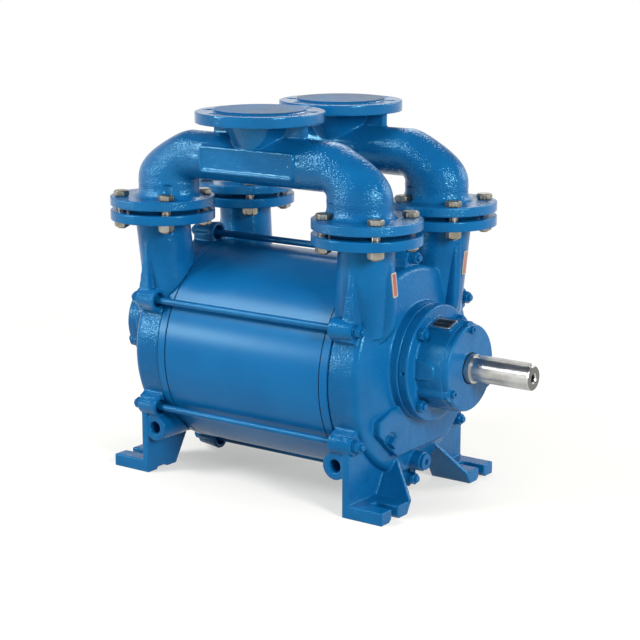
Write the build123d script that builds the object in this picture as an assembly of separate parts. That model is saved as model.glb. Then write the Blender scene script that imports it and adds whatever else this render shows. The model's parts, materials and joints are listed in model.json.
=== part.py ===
from build123d import *
import os
from math import cos, sin, radians

# Liquid ring vacuum pump: two end covers with feet and leaning necks, two
# overhead pipe bends and an eccentric bladed rotor. Millimetres. +X points out
# of the drive end, +Z up, the origin lies on the floor in the middle of the feet.

# Casing and rotor
casing_length = 330.0
casing_radius = 182.0
casing_wall = 8.0
floor_clearance = 6.5
rotor_eccentricity = 19.0
rotor_tip_gap = 1.5
rotor_side_gap = 0.4
hub_radius = 58.0
vane_count = 14
vane_thickness = 6.0
vane_sweep = 24.0
vane_root_depth = 3.0
middle_disc_thickness = 10.0
middle_disc_inset = 12.0

# Port plates and gaskets
port_plate_thickness = 14.0
port_plate_overhang = 0.5
casing_gasket_thickness = 2.5
casing_gasket_inset = 0.8
cover_gasket_thickness = 1.0
cover_gasket_inset = 1.0
port_radius = 98.0
suction_port_width = 38.0
suction_port_start = -55.0
suction_port_sweep = 95.0
discharge_port_width = 24.0
discharge_port_start = 150.0
discharge_port_sweep = 45.0

# End covers
cover_depth = 69.0
cover_band_inset = 2.0
cover_crown_depth = 13.5
cover_crown_margin = 4.0
cover_shoulder_radius = 12.0
cover_shoulder_setback = 24.0
cover_groove_size = 1.2
cover_wall = 11.0
chamber_web = 14.0
housing_seat_length = 17.0
housing_seat_margin = 1.0
overhang_clearance = 1.0
sump_proud = 6.0
sump_corner = 6.0
sump_half_width = 134.0
sump_floor_half_width = 80.0
sump_top_half_width = 96.0
sump_top_drop = 46.0
sump_shoulder_drop = 72.0
sump_shoulder_height = 24.0
sump_floor_drop = 132.0

# Plugs on the end covers
square_plug_y = -100.0
square_plug_drop = 102.0
square_plug_radius = 8.0
square_plug_length = 9.0
square_plug_collar_radius = 11.0
square_plug_head = 15.0
square_plug_head_length = 11.0
plug_recess_radius = 17.0
plug_recess_depth = 4.0
round_plug_y = -6.0
round_plug_rim_distance = 22.0
round_plug_radius = 9.0
round_plug_length = 12.0
round_plug_collar_radius = 14.0
round_plug_collar_length = 5.0
round_plug_socket = 10.0
round_boss_radius = 17.0
round_boss_length = 12.0

# Tie rods
rod_radius = 6.0
rod_distance_from_casing = 12.5
rod_angles = (90.0, 30.0, -39.0, -90.0, -150.0, 150.0)
rod_hole_gap = 0.8
rod_tail = 5.0
rod_lug_radius = 20.0
rod_lug_end_radius = 15.5
rod_lug_start = 5.0
rod_lug_length = 43.0
rod_lug_root = 26.0
rod_counterbore_radius = 13.0
rod_counterbore_depth = 14.0
nut_across_flats = 19.0
nut_height = 10.5
washer_radius = 12.0
washer_thickness = 2.5
washer_seat_gap = 1.0

# Feet
foot_span_y = 360.0
foot_setback = 30.0
foot_pad_length = 79.5
foot_pad_width = 78.5
foot_pad_thickness = 22.0
foot_plate_thickness = 13.0
foot_plate_inner_y = 60.0
foot_slot_width = 18.0
foot_slot_length = 46.0
foot_relief_width = 26.0
foot_relief_height = 3.5
gusset_thickness = 9.0
gusset_lean = 0.6
gusset_height = 84.0

# Service ports low on the end covers
service_port_setback = 13.5
service_port_drop = 135.0
service_mouth_inset = 1.5
service_port_radius = 11.5
service_port_depth = 32.0
service_way_radius = 7.5
service_way_end_y = -90.0
service_boss_radius = 24.0
service_boss_root_y = -60.0

# Necks and lower flanges
neck_setback = 36.0
neck_lean_x = 13.0
neck_lean_y = 7.3
neck_foot_rise = 79.0
neck_top_rise = 251.5
neck_radius = 48.0
neck_flare = 6.0
neck_rib_width = 24.0
neck_rib_depth = 26.0
neck_rib_top_gap = 25.0
neck_bore_radius = 32.5
neck_throat_radius = 26.5
neck_throat_rise = 30.0
flange_radius = 92.5
neck_flange_thickness = 17.0
flange_bolt_inset = 20.0
flange_bolt_count = 4
flange_bolt_radius = 8.0
flange_bolt_tail = 3.0
flange_hole_gap = 1.0
flange_nut_across_flats = 24.0
flange_nut_height = 13.0
flange_head_height = 10.0
spanner_gap = 4.5
spot_face_depth = 25.0
raised_face_radius = 61.0
raised_face_height = 3.0
flange_gasket_thickness = 2.0
flange_gasket_inset = 1.0

# Overhead bends
bend_rise = 94.0
bend_flange_thickness = 16.5
bend_throat = 5.0
bend_swell_power = 6.0
bend_angles = (0, 15, 30, 50, 70, 90)
pipe_radius = 42.0
pipe_wall = 8.0
leg_shift = 15.0
leg_half_x = 58.0
leg_half_y = 46.0
leg_flare = 9.0
top_branch_height = 84.0
top_flange_thickness = 18.5
top_flange_radius = 110.0
top_flange_gap = 16.6
top_bolt_inset = 20.0
top_bolt_count = 8
top_hole_radius = 9.0
top_bore_radius = 50.0
top_face_radius = 79.0
top_face_height = 2.0
top_cone_radius = 65.0
top_cone_foot_radius = 34.0
top_cone_foot_rise = 6.0
top_rib_half_length = 98.0
top_rib_thickness = 15.0
side_pad_length = 196.0
side_pad_height = 45.0
side_pad_proud = 2.0
side_pad_border = 4.0
side_pad_sink = 1.2
side_pad_corner = 3.0
blanking_disc_thickness = 1.5
blanking_disc_inset = 0.5

# Shaft
shaft_end_radius = 21.0
shaft_end_length = 110.0
shaft_stub_step = 4.0
shaft_step = 2.5
shaft_stub_proud = 9.5
shaft_tail = 2.0
shaft_chamfer = 1.5
key_width = 12.0
key_end_margin = 5.0
key_depth = 5.0
key_proud = 3.0
impeller_key_width = 18.0
impeller_key_length = 140.0
impeller_key_depth = 5.0
key_play = 0.1
centre_hole_radius = 7.0
centre_hole_depth = 30.0
centre_hole_countersink = 2.0
fit_gap = 0.05
thread_gap = 0.1

# Shaft seals
sleeve_wall = 5.0
sleeve_setback = 6.5
sleeve_gap = 1.0
seal_throat_gap = 3.0
seal_room_width = 11.0
seal_room_wall = 16.0
seal_room_setback = 10.0
seal_land = 9.0
seal_seat_width = 9.5
seal_seat_gap = 2.0
seal_ring_width = 10.0
seal_ring_inset = 4.0
seal_spring_length = 24.0
seal_spring_height = 6.0
seal_spring_waves = 4
flinger_radius = 44.0
flinger_thickness = 6.0
flinger_setback = 5.0
flinger_gap = 6.0

# Bearings and their housings
bearing_outer_radius = 60.0
bearing_width = 29.0
bearing_setback = 9.5
race_gap = 8.0
ball_count = 8
ball_radius = 10.3
ball_play = 0.2
cage_thickness = 5.0
cage_side = 1.5
lock_nut_step = 10.0
lock_nut_width = 9.0
lock_nut_notch = 6.0
lock_nut_clearance = 4.0
barrel_wall = 16.0
housing_flange_width = 24.0
housing_flange_thickness = 18.0
housing_flange_edge = 3.0
housing_shoulder_gap = 4.0
housing_stud_inset = 13.0
housing_stud_radius = 6.0
housing_stud_depth = 15.0
housing_stud_tail = 4.0
housing_nut_room = 14.0
barrel_lug_radius = 13.0
barrel_lug_shift = 2.0
barrel_pad_length = 38.0
barrel_pad_width = 33.0
barrel_pad_proud = 2.5
barrel_pad_rise = 5.0
plate_pad_angle = 107.0
plate_pad_proud = 3.0
plate_pad_width = 36.0
plate_pad_end_gap = 6.0
vent_radius = 2.5
cap_inset = 2.0
cap_thickness = 11.0
cap_edge = 4.0
cap_lug_radius = 12.0
cap_lug_inset = 2.0
cap_ring_wall = 7.0
cap_shaft_gap = 2.0
cap_screw_inset = 6.0
cap_screw_radius = 4.0
cap_screw_depth = 18.0
cap_screw_head_radius = 6.5
cap_screw_head_height = 6.0
cap_screw_socket = 6.0
cap_screw_socket_depth = 3.5
cap_screw_angles = (90.0, 210.0, 330.0)
lip_seal_height = 7.5
lip_seal_width = 8.0
lip_seal_gap = 0.5

# Places along the pump that follow from the sizes above
casing_end_x = casing_length / 2
plate_start_x = casing_end_x + casing_gasket_thickness
plate_end_x = plate_start_x + port_plate_thickness
cover_start_x = plate_end_x + cover_gasket_thickness
cover_face_x = cover_start_x + cover_depth
cover_shoulder_x = cover_face_x - cover_shoulder_setback
cover_corner_x = cover_face_x - cover_crown_depth
seat_end_x = cover_face_x + housing_seat_length
housing_face_x = seat_end_x + housing_flange_thickness
bearing_start_x = housing_face_x + bearing_setback
bearing_end_x = bearing_start_x + bearing_width
bearing_middle_x = (bearing_start_x + bearing_end_x) / 2
housing_end_x = bearing_end_x + lock_nut_width + lock_nut_clearance
cap_end_x = housing_end_x + cap_thickness
shaft_stub_end_x = cap_end_x + shaft_stub_proud
shaft_tip_x = shaft_stub_end_x + shaft_end_length
rotor_half_length = plate_start_x - rotor_side_gap
lug_start_x = cover_start_x + rod_lug_start
lug_end_x = lug_start_x + rod_lug_length
rod_end_x = lug_end_x + washer_thickness + nut_height + rod_tail
foot_plate_x = cover_start_x + foot_setback
foot_reach_x = foot_plate_x + foot_pad_length
service_port_x = cover_start_x + service_port_setback
round_boss_end_x = cover_face_x + round_boss_length
seal_land_x = seat_end_x - seal_land
seal_seat_x = seal_land_x - seal_seat_width
seal_ring_end_x = seal_seat_x - 2 * fit_gap
seal_ring_start_x = seal_ring_end_x - seal_ring_width
sleeve_end_x = seat_end_x - sleeve_setback

# Radii that follow from the sizes above
casing_bore = casing_radius - casing_wall
rotor_radius = casing_bore - rotor_eccentricity - rotor_tip_gap
port_plate_radius = casing_radius + port_plate_overhang
cover_band_radius = casing_radius - cover_band_inset
chamber_radius = cover_band_radius - cover_wall
rod_circle_radius = casing_radius + rod_distance_from_casing
shaft_stub_radius = shaft_end_radius + shaft_stub_step
bearing_bore_radius = shaft_stub_radius + shaft_step
shaft_seal_radius = bearing_bore_radius + shaft_step
shaft_hub_radius = shaft_seal_radius + shaft_step
sleeve_radius = shaft_seal_radius + sleeve_wall
seal_throat_radius = sleeve_radius + seal_throat_gap
seal_bore_radius = sleeve_radius + seal_room_width
hub_wall_radius = seal_bore_radius + seal_room_wall
barrel_radius = bearing_outer_radius + barrel_wall
housing_flange_radius = barrel_radius + housing_flange_width
housing_stud_circle_radius = housing_flange_radius - housing_stud_inset
housing_seat_radius = housing_flange_radius + housing_seat_margin
housing_hollow_radius = flinger_radius + flinger_gap
cap_radius = barrel_radius - cap_inset
cap_screw_circle_radius = bearing_outer_radius + cap_screw_inset
ball_circle_radius = (bearing_bore_radius + bearing_outer_radius) / 2
flange_bolt_circle_radius = flange_radius - flange_bolt_inset
flange_hole_radius = flange_bolt_radius + flange_hole_gap
spot_face_radius = flange_nut_across_flats / 2 + spanner_gap
top_bolt_circle_radius = top_flange_radius - top_bolt_inset

# Heights and widths that follow from the sizes above
casing_axis_z = rod_circle_radius + rod_lug_radius + floor_clearance
shaft_z = casing_axis_z + rotor_eccentricity
key_floor_z = shaft_z + shaft_end_radius - key_depth
upper_rod_z = casing_axis_z + rod_circle_radius / 2
lower_rod_z = casing_axis_z - rod_circle_radius / 2
foot_y = foot_span_y / 2
slot_y = foot_y - foot_pad_width / 2
service_mouth_y = service_mouth_inset - foot_y
service_port_z = casing_axis_z - service_port_drop
square_plug_z = casing_axis_z - square_plug_drop
round_plug_z = casing_axis_z - cover_band_radius + round_plug_rim_distance
neck_y = top_flange_radius + top_flange_gap / 2
neck_x = cover_start_x + neck_setback
neck_foot_x = neck_x - neck_lean_x
neck_foot_y = neck_y - neck_lean_y
neck_foot_z = casing_axis_z + neck_foot_rise
neck_flange_top_z = casing_axis_z + neck_top_rise
neck_flange_z = neck_flange_top_z - neck_flange_thickness
neck_face_z = neck_flange_top_z + raised_face_height
bend_face_z = neck_face_z + flange_gasket_thickness
bend_flange_z = bend_face_z + raised_face_height
bend_flange_top_z = bend_flange_z + bend_flange_thickness
pipe_axis_z = bend_flange_z + bend_rise
leg_x = neck_x - leg_shift
bend_pivot_x = leg_x - leg_half_x - bend_throat
bend_pivot_z = pipe_axis_z - pipe_radius - bend_throat
top_flange_z = pipe_axis_z + top_branch_height
top_flange_under_z = top_flange_z - top_flange_thickness
top_face_z = top_flange_z + top_face_height

# How far a cutting tool runs past the surface it opens
past = 1.0


def facing_x(x, y=0.0, z=0.0):
    """Plane across X whose drawing axes are +Y and +Z."""
    return Plane(origin=(x, y, z), x_dir=(0, 1, 0), z_dir=(1, 0, 0))


def facing_front(y, x=0.0, z=0.0):
    """Plane across Y, facing -Y, whose drawing axes are +X and +Z."""
    return Plane(origin=(x, y, z), x_dir=(1, 0, 0), z_dir=(0, -1, 0))


def bar_x(radius, x_from, x_to, y=0.0, z=0.0):
    return extrude(facing_x(x_from, y, z) * Circle(radius), x_to - x_from)


def bar_y(radius, y_from, y_to, x=0.0, z=0.0):
    return extrude(facing_front(y_to, x, z) * Circle(radius), y_to - y_from)


def bar_z(radius, z_from, z_to, x=0.0, y=0.0):
    return extrude(Plane(origin=(x, y, z_from)) * Circle(radius), z_to - z_from)


def tube_x(outer, inner, x_from, x_to, y=0.0, z=0.0):
    return extrude(facing_x(x_from, y, z) * (Circle(outer) - Circle(inner)), x_to - x_from)


def hexagon(flats, bore=0.0):
    outline = RegularPolygon(flats / 2, 6, major_radius=False)
    return outline - Circle(bore) if bore else outline


def hex_x(flats, bore, x_from, x_to, y=0.0, z=0.0):
    return extrude(facing_x(x_from, y, z) * hexagon(flats, bore), x_to - x_from)


def polar(radius, angle):
    return radius * cos(radians(angle)), radius * sin(radians(angle))


def around(radius, angles, centre_z):
    """Places y, z on a circle about an axis along X at height centre_z."""
    turned = [polar(radius, angle) for angle in angles]
    return [(y, centre_z + z) for y, z in turned]


def spin_x(solid):
    """Turn a section drawn in x, radius about the X axis."""
    return revolve(Plane.XZ * solid, Axis((0, 0, 0), (1, 0, 0)))


def end_rim(shape):
    """The circular edge furthest out along +X."""
    return shape.edges().filter_by(GeomType.CIRCLE).sort_by(Axis.X)[-1]


def other_end(shape):
    """The same piece at the free end of the pump."""
    return mirror(shape, about=Plane.YZ)


def other_side(shape):
    """The same piece on the rear side of the pump."""
    return mirror(shape, about=Plane.XZ)


def save(shape, name):
    """Write one node; a list becomes a group of separate solids."""
    pieces = shape if isinstance(shape, list) else [shape]
    solids = [solid for piece in pieces for solid in piece.solids()]
    node = solids[0] if len(solids) == 1 else Compound(solids)
    export_step(node, f"parts/{name}.step")


# Casing, port plates and rotor


def make_casing():
    return tube_x(casing_radius, casing_bore, -casing_end_x, casing_end_x, z=casing_axis_z)


def make_casing_gasket():
    outer = casing_radius - casing_gasket_inset
    return tube_x(outer, casing_bore, casing_end_x, plate_start_x, z=casing_axis_z)


def make_cover_gasket():
    outer = cover_band_radius - cover_gasket_inset
    return tube_x(outer, chamber_radius, plate_end_x, cover_start_x, z=casing_axis_z)


def kidney(width, start, sweep):
    """Curved slot in the port plate around the shaft's axis."""
    return SlotArc(CenterArc((0, 0), port_radius, start, sweep), width)


def make_port_plate():
    """Disc with a long suction port at the rear and a short discharge port at the front."""
    plate = bar_x(port_plate_radius, plate_start_x, plate_end_x, z=casing_axis_z)
    plate -= bar_x(sleeve_radius + sleeve_gap, plate_start_x, plate_end_x, z=shaft_z)
    ports = kidney(suction_port_width, suction_port_start, suction_port_sweep)
    ports += kidney(discharge_port_width, discharge_port_start, discharge_port_sweep)
    return plate - extrude(facing_x(plate_start_x, 0, shaft_z) * ports, port_plate_thickness)


def vane_profile():
    """Forward curved vane: leaves the hub radially and bends towards the turning side."""
    half = vane_thickness / 2
    root = hub_radius - vane_root_depth
    tip_y, tip_z = polar(rotor_radius, vane_sweep)
    side_y, side_z = polar(half, vane_sweep + 90)
    lower = TangentArc((root, -half), (tip_y - side_y, tip_z - side_z), tangent=(1, 0))
    upper = TangentArc((root, half), (tip_y + side_y, tip_z + side_z), tangent=(1, 0))
    return make_face([lower, Line(lower @ 1, upper @ 1), upper, Line(upper @ 0, lower @ 0)])


def impeller_key_box(play):
    """Plain parallel key, half in the shaft and half in the hub."""
    height = 2 * impeller_key_depth
    key = Box(impeller_key_length - play, impeller_key_width - play, height - play)
    return Pos(0, 0, shaft_z + shaft_hub_radius) * key


def make_impeller():
    """Hub with curved vanes and a stiffening disc half way along."""
    turn = 360 / vane_count
    vanes = Sketch() + [Rot(0, 0, i * turn) * vane_profile() for i in range(vane_count)]
    section = vanes & Circle(rotor_radius)
    section = section + Circle(hub_radius)
    wheel = extrude(facing_x(-rotor_half_length, 0, shaft_z) * section, 2 * rotor_half_length)
    half = middle_disc_thickness / 2
    wheel += bar_x(rotor_radius - middle_disc_inset, -half, half, z=shaft_z)
    wheel -= bar_x(shaft_hub_radius + fit_gap, -rotor_half_length, rotor_half_length, z=shaft_z)
    return wheel - impeller_key_box(0)


# End covers


def cover_body():
    """Turned body about the casing's axis: wide band, rounded shoulder and a low cone in front."""
    outline = make_face(Polyline(
        (cover_start_x, 0), (cover_start_x, cover_band_radius), (cover_corner_x, cover_band_radius),
        (cover_face_x, housing_seat_radius + cover_crown_margin), (cover_face_x, 0), close=True,
    ))
    corner = outline.vertices().group_by(Axis.Y)[-1].sort_by(Axis.X)[-1]
    body = spin_x(fillet(corner, cover_shoulder_radius))
    outer = cover_band_radius + past
    inner = cover_band_radius - cover_groove_size
    groove = tube_x(outer, inner, cover_shoulder_x - cover_groove_size, cover_shoulder_x)
    return Pos(0, 0, casing_axis_z) * (body - groove)


def cover_chambers():
    """Two chambers behind the port plate, split by an upright web."""
    hub = Pos(0, rotor_eccentricity) * Circle(hub_wall_radius)
    pocket = Circle(chamber_radius) - hub - Rectangle(chamber_web, 2 * chamber_radius)
    return extrude(facing_x(cover_start_x, 0, casing_axis_z) * pocket, cover_shoulder_x - cover_start_x)


def sump_face():
    """Raised outline of the sump on the cover's front face."""
    shoulder = sump_shoulder_drop - sump_shoulder_height / 2
    knee = sump_shoulder_drop + sump_shoulder_height / 2
    right = [
        (sump_floor_half_width, -sump_floor_drop), (sump_half_width, -knee),
        (sump_half_width, -shoulder), (sump_top_half_width, -sump_top_drop),
    ]
    left = [(-y, z) for y, z in reversed(right)]
    outline = make_face(Polyline(*right, *left, close=True))
    outline = fillet(outline.vertices(), sump_corner)
    start = facing_x(cover_shoulder_x, 0, casing_axis_z)
    return extrude(start * outline, cover_shoulder_setback + sump_proud)


def make_neck():
    """Leaning round neck that flares into its flange, on the rear side of the drive end."""
    foot = Pos(neck_foot_x, neck_foot_y, neck_foot_z) * Circle(neck_radius)
    collar = Pos(neck_x, neck_y, neck_flange_z - neck_flare) * Circle(neck_radius)
    root = Pos(neck_x, neck_y, neck_flange_z) * Circle(neck_radius + neck_flare)
    neck = loft([foot, collar]) + loft([collar, root])
    neck += bar_z(flange_radius, neck_flange_z, neck_flange_top_z, neck_x, neck_y)
    return neck + bar_z(raised_face_radius, neck_flange_top_z, neck_face_z, neck_x, neck_y)


def neck_rib():
    """Wedge up the outer side of the neck from the upper rod lug."""
    base_x = lug_end_x - neck_rib_width / 2
    base_y = neck_foot_y + neck_radius + 3
    base_z = upper_rod_z + rod_lug_radius / 2
    base = Pos(base_x, base_y, base_z) * Rectangle(neck_rib_width, neck_rib_depth)
    tip = Pos(neck_x, neck_y + neck_radius - 5, neck_flange_z - neck_rib_top_gap) * Rectangle(4, 6)
    return loft([base, tip])


def neck_bore():
    mouth = Pos(neck_x, neck_y, neck_face_z) * Circle(neck_bore_radius)
    throat_z = neck_foot_z + neck_throat_rise
    throat = Pos(neck_foot_x, neck_foot_y, throat_z) * Circle(neck_throat_radius)
    return loft([throat, mouth])


def bolt_places(count, radius, x, y, first):
    return [(x + dx, y + dy) for dx, dy in [polar(radius, first + i * 360 / count) for i in range(count)]]


def flange_bolt_places(x, y):
    return bolt_places(flange_bolt_count, flange_bolt_circle_radius, x, y, 180 / flange_bolt_count)


def neck_bolt_cuts():
    """Bolt holes in the neck's flange, with flat seats cut into the flare for the nuts."""
    cuts = []
    for x, y in flange_bolt_places(neck_x, neck_y):
        cuts.append(bar_z(flange_hole_radius, neck_flange_z - past, neck_flange_top_z + past, x, y))
        cuts.append(bar_z(spot_face_radius, neck_flange_z - spot_face_depth, neck_flange_z, x, y))
    return cuts


def rod_places():
    return around(rod_circle_radius, rod_angles, casing_axis_z)


def rod_lug(y, z):
    """Boss around one tie rod, thinner towards the nut."""
    root = facing_x(lug_start_x, y, z) * Circle(rod_lug_radius)
    return loft([root, facing_x(lug_end_x, y, z) * Circle(rod_lug_end_radius)])


def rod_lugs():
    """Bosses for the tie rods, each joined to the band by a flat-sided block."""
    middle_x = (lug_start_x + lug_end_x) / 2
    block = Box(rod_lug_length, rod_lug_root + rod_distance_from_casing, 2 * rod_lug_radius)
    block = Pos(middle_x, rod_circle_radius - (rod_lug_root + rod_distance_from_casing) / 2, 0) * block
    blocks = [Pos(0, 0, casing_axis_z) * Rot(angle, 0, 0) * block for angle in rod_angles]
    return blocks + [rod_lug(y, z) for y, z in rod_places()]


def rod_cuts():
    """Rod holes with a counterbore at the casing side and a seat for the washer and nut."""
    counterbore_x = lug_start_x + rod_counterbore_depth
    cuts = []
    for y, z in rod_places():
        cuts.append(bar_x(rod_radius + rod_hole_gap, casing_end_x, lug_end_x + past, y, z))
        cuts.append(bar_x(rod_counterbore_radius, lug_start_x - past, counterbore_x, y, z))
        cuts.append(bar_x(washer_radius + washer_seat_gap, lug_end_x, rod_end_x + past, y, z))
    return cuts


def foot_inner_y(z):
    """The foot's inner edge leans towards the middle as it rises."""
    return foot_y - foot_pad_width - gusset_lean * z


def foot_upright():
    """Plate across X from the pad up to the lower tie rods."""
    outline = Polyline(
        (foot_y, 0), (foot_y, lower_rod_z), (foot_plate_inner_y, lower_rod_z),
        (foot_inner_y(gusset_height), gusset_height), (foot_inner_y(0), 0), close=True,
    )
    return extrude(facing_x(foot_plate_x) * make_face(outline), foot_plate_thickness)


def foot_gusset():
    """Leaning wall along the pad's inner edge, cut to a slope that rises to the cover."""
    lean = make_face(Polyline(
        (foot_inner_y(0), 0), (foot_inner_y(0) + gusset_thickness, 0),
        (foot_inner_y(gusset_height) + gusset_thickness, gusset_height),
        (foot_inner_y(gusset_height), gusset_height), close=True,
    ))
    side = make_face(Polyline(
        (foot_plate_x, 0), (foot_reach_x, 0), (foot_reach_x, foot_pad_thickness),
        (cover_corner_x, gusset_height), (foot_plate_x, gusset_height), close=True,
    ))
    wall = extrude(facing_x(foot_plate_x) * lean, foot_pad_length)
    return wall & extrude(facing_front(foot_y) * side, foot_y)


def foot_slot():
    """Holding-down slot, open at the pad's outer end."""
    centre_x = foot_reach_x - foot_slot_length + foot_slot_width / 2
    length = foot_reach_x - centre_x + past
    round_end = bar_z(foot_slot_width / 2, -past, foot_pad_thickness + past, centre_x, slot_y)
    box = Box(length, foot_slot_width, foot_pad_thickness + 2 * past)
    return round_end + Pos(centre_x + length / 2, slot_y, foot_pad_thickness / 2) * box


def make_foot():
    """Upright, gusset and base pad with its slot and relief groove, on the rear side."""
    middle_x = (foot_plate_x + foot_reach_x) / 2
    pad = Box(foot_pad_length, foot_pad_width, foot_pad_thickness)
    foot = foot_upright() + Pos(middle_x, slot_y, foot_pad_thickness / 2) * pad + foot_gusset()
    groove = Box(foot_pad_length + 2 * past, foot_relief_width, 2 * foot_relief_height)
    return foot - foot_slot() - Pos(middle_x, slot_y, 0) * groove


def service_boss():
    """Boss for a threaded service port beside the front foot."""
    return bar_y(service_boss_radius, service_mouth_y, service_boss_root_y, service_port_x, service_port_z)


def service_hole():
    """Threaded mouth with a narrower way on into the chamber."""
    end_y = service_mouth_y + service_port_depth
    hole = bar_y(service_port_radius, service_mouth_y - past, end_y, service_port_x, service_port_z)
    return hole + bar_y(service_way_radius, end_y - past, service_way_end_y, service_port_x, service_port_z)


def seal_room():
    """Throat, seal chamber and end land bored along the shaft's axis."""
    throat = bar_x(seal_throat_radius, cover_start_x - past, seat_end_x + past, z=shaft_z)
    return throat + bar_x(seal_bore_radius, cover_start_x + seal_room_setback, seal_land_x, z=shaft_z)


def plug_cuts():
    """Recess and thread for the square plug, and the thread in the round plug's boss."""
    recess_x = cover_face_x + sump_proud - plug_recess_depth
    recess_end = cover_face_x + sump_proud + past
    recess = bar_x(plug_recess_radius, recess_x, recess_end, square_plug_y, square_plug_z)
    thread = bar_x(square_plug_radius + thread_gap, recess_x - square_plug_length - past,
                   recess_x + past, square_plug_y, square_plug_z)
    round_thread = bar_x(round_plug_radius + thread_gap, round_boss_end_x - round_plug_length - past,
                         round_boss_end_x + past, round_plug_y, round_plug_z)
    return [recess, thread, round_thread]


def housing_stud_places():
    return around(housing_stud_circle_radius, (45, 135, 225, 315), shaft_z)


def housing_stud_holes():
    start = seat_end_x - housing_stud_depth
    hole = housing_stud_radius + thread_gap
    return [bar_x(hole, start, seat_end_x + past, y, z) for y, z in housing_stud_places()]


def make_end_cover():
    cover = cover_body() + sump_face()
    cover += bar_x(housing_seat_radius, cover_shoulder_x, seat_end_x, z=shaft_z)
    cover += bar_x(round_boss_radius, cover_shoulder_x, round_boss_end_x, round_plug_y, round_plug_z)
    outside = [make_neck(), neck_rib(), make_foot()]
    cover += outside + [other_side(piece) for piece in outside] + [service_boss()] + rod_lugs()
    room = port_plate_radius + overhang_clearance
    cover -= bar_x(room, 0, cover_start_x, z=casing_axis_z)
    cover -= cover_chambers()
    inside = [neck_bore()] + neck_bolt_cuts()
    cover -= inside + [other_side(piece) for piece in inside]
    cover -= [service_hole(), seal_room()]
    return cover - rod_cuts() - housing_stud_holes() - plug_cuts()


def make_square_plug():
    """Pipe plug with a square head set on its corner, standing in the round recess."""
    seat_x = cover_face_x + sump_proud - plug_recess_depth
    place = (square_plug_y, square_plug_z)
    plug = bar_x(square_plug_radius, seat_x - square_plug_length, seat_x, *place)
    plug += bar_x(square_plug_collar_radius, seat_x, seat_x + 2, *place)
    head = Rot(0, 0, 45) * Rectangle(square_plug_head, square_plug_head)
    return plug + extrude(facing_x(seat_x + 2, *place) * head, square_plug_head_length)


def make_round_plug():
    """Screwed plug with a round collar and a hexagon socket."""
    place = (round_plug_y, round_plug_z)
    end = round_boss_end_x + round_plug_collar_length
    plug = bar_x(round_plug_radius, round_boss_end_x - round_plug_length, round_boss_end_x, *place)
    plug += bar_x(round_plug_collar_radius, round_boss_end_x, end, *place)
    socket = facing_x(round_boss_end_x + past, *place) * hexagon(round_plug_socket)
    return plug - extrude(socket, round_plug_collar_length)


# Tie rods


def make_tie_rods():
    return [bar_x(rod_radius, -rod_end_x, rod_end_x, y, z) for y, z in rod_places()]


def make_tie_rod_washers():
    end = lug_end_x + washer_thickness
    return [tube_x(washer_radius, rod_radius + thread_gap, lug_end_x, end, y, z) for y, z in rod_places()]


def make_tie_rod_nuts():
    start = lug_end_x + washer_thickness
    end = start + nut_height
    return [hex_x(nut_across_flats, rod_radius + thread_gap, start, end, y, z) for y, z in rod_places()]


# Overhead bends


def oval(half_x, half_y):
    """Closed smooth curve through twelve points of an ellipse."""
    points = [(half_x * cos(radians(turn)), half_y * sin(radians(turn))) for turn in range(0, 360, 30)]
    return make_face(Spline(*points, periodic=True))


def bend_sections(shrink):
    """Sections fanned about the bend's pivot, swelling from the pipe's circle to the leg's oval."""
    faces = []
    for angle in bend_angles:
        out_x, out_z = polar(1.0, angle)
        swell = out_x ** bend_swell_power
        half_out = pipe_radius + (leg_half_x - pipe_radius) * swell
        half_y = pipe_radius + (leg_half_y - pipe_radius) * swell
        distance = half_out + bend_throat
        place = (bend_pivot_x + distance * out_x, 0, bend_pivot_z + distance * out_z)
        plane = Plane(origin=place, x_dir=(out_x, 0, out_z), z_dir=(-out_z, 0, out_x))
        faces.append(plane * oval(half_out - shrink, half_y - shrink))
    return faces


def leg_sections():
    """Ovals down the leg that flare into the flange."""
    height = bend_pivot_z - bend_flange_top_z
    steps = [(0, 1), (0.12, 0.45), (0.3, 0.12), (0.55, 0), (1, 0)]
    places = [(bend_flange_top_z + height * part, leg_flare * flare) for part, flare in steps]
    return [Pos(leg_x, 0, z) * oval(leg_half_x + flare, leg_half_y + flare) for z, flare in places]


def bend_outside():
    """One bend with its leg and lower flange, drawn on y = 0."""
    half = loft(bend_sections(0)) + loft(leg_sections())
    half += bar_z(flange_radius, bend_flange_z, bend_flange_top_z, neck_x)
    return half + bar_z(raised_face_radius, bend_face_z, bend_flange_z, neck_x)


def bend_inside():
    top = Pos(leg_x, 0, bend_pivot_z) * oval(leg_half_x - pipe_wall, leg_half_y - pipe_wall)
    mouth = Pos(neck_x, 0, bend_face_z) * oval(neck_bore_radius, neck_bore_radius)
    return loft(bend_sections(pipe_wall)) + loft([mouth, top])


def straight_pipe(shrink):
    """Pipe between the two bends, with the same section as their ends."""
    return extrude(bend_sections(shrink)[-1], 2 * bend_pivot_x)


def top_branch():
    """Cone under the top flange, its rib along the pipe and the flange with its raised face."""
    foot = Pos(0, 0, pipe_axis_z + top_cone_foot_rise) * Circle(top_cone_foot_radius)
    branch = loft([foot, Pos(0, 0, top_flange_under_z) * Circle(top_cone_radius)])
    rib = SlotOverall(2 * top_rib_half_length, top_rib_thickness)
    branch += extrude(Plane.XY.offset(pipe_axis_z) * rib, top_flange_under_z - pipe_axis_z)
    branch += bar_z(top_flange_radius, top_flange_under_z, top_flange_z)
    return branch + bar_z(top_face_radius, top_flange_z, top_face_z)


def top_bore():
    narrow = Pos(0, 0, pipe_axis_z) * Circle(top_cone_foot_radius - pipe_wall)
    wide = Pos(0, 0, top_flange_under_z) * Circle(top_bore_radius - past)
    return loft([narrow, wide]) + bar_z(top_bore_radius, top_flange_under_z, top_face_z + past)


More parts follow.
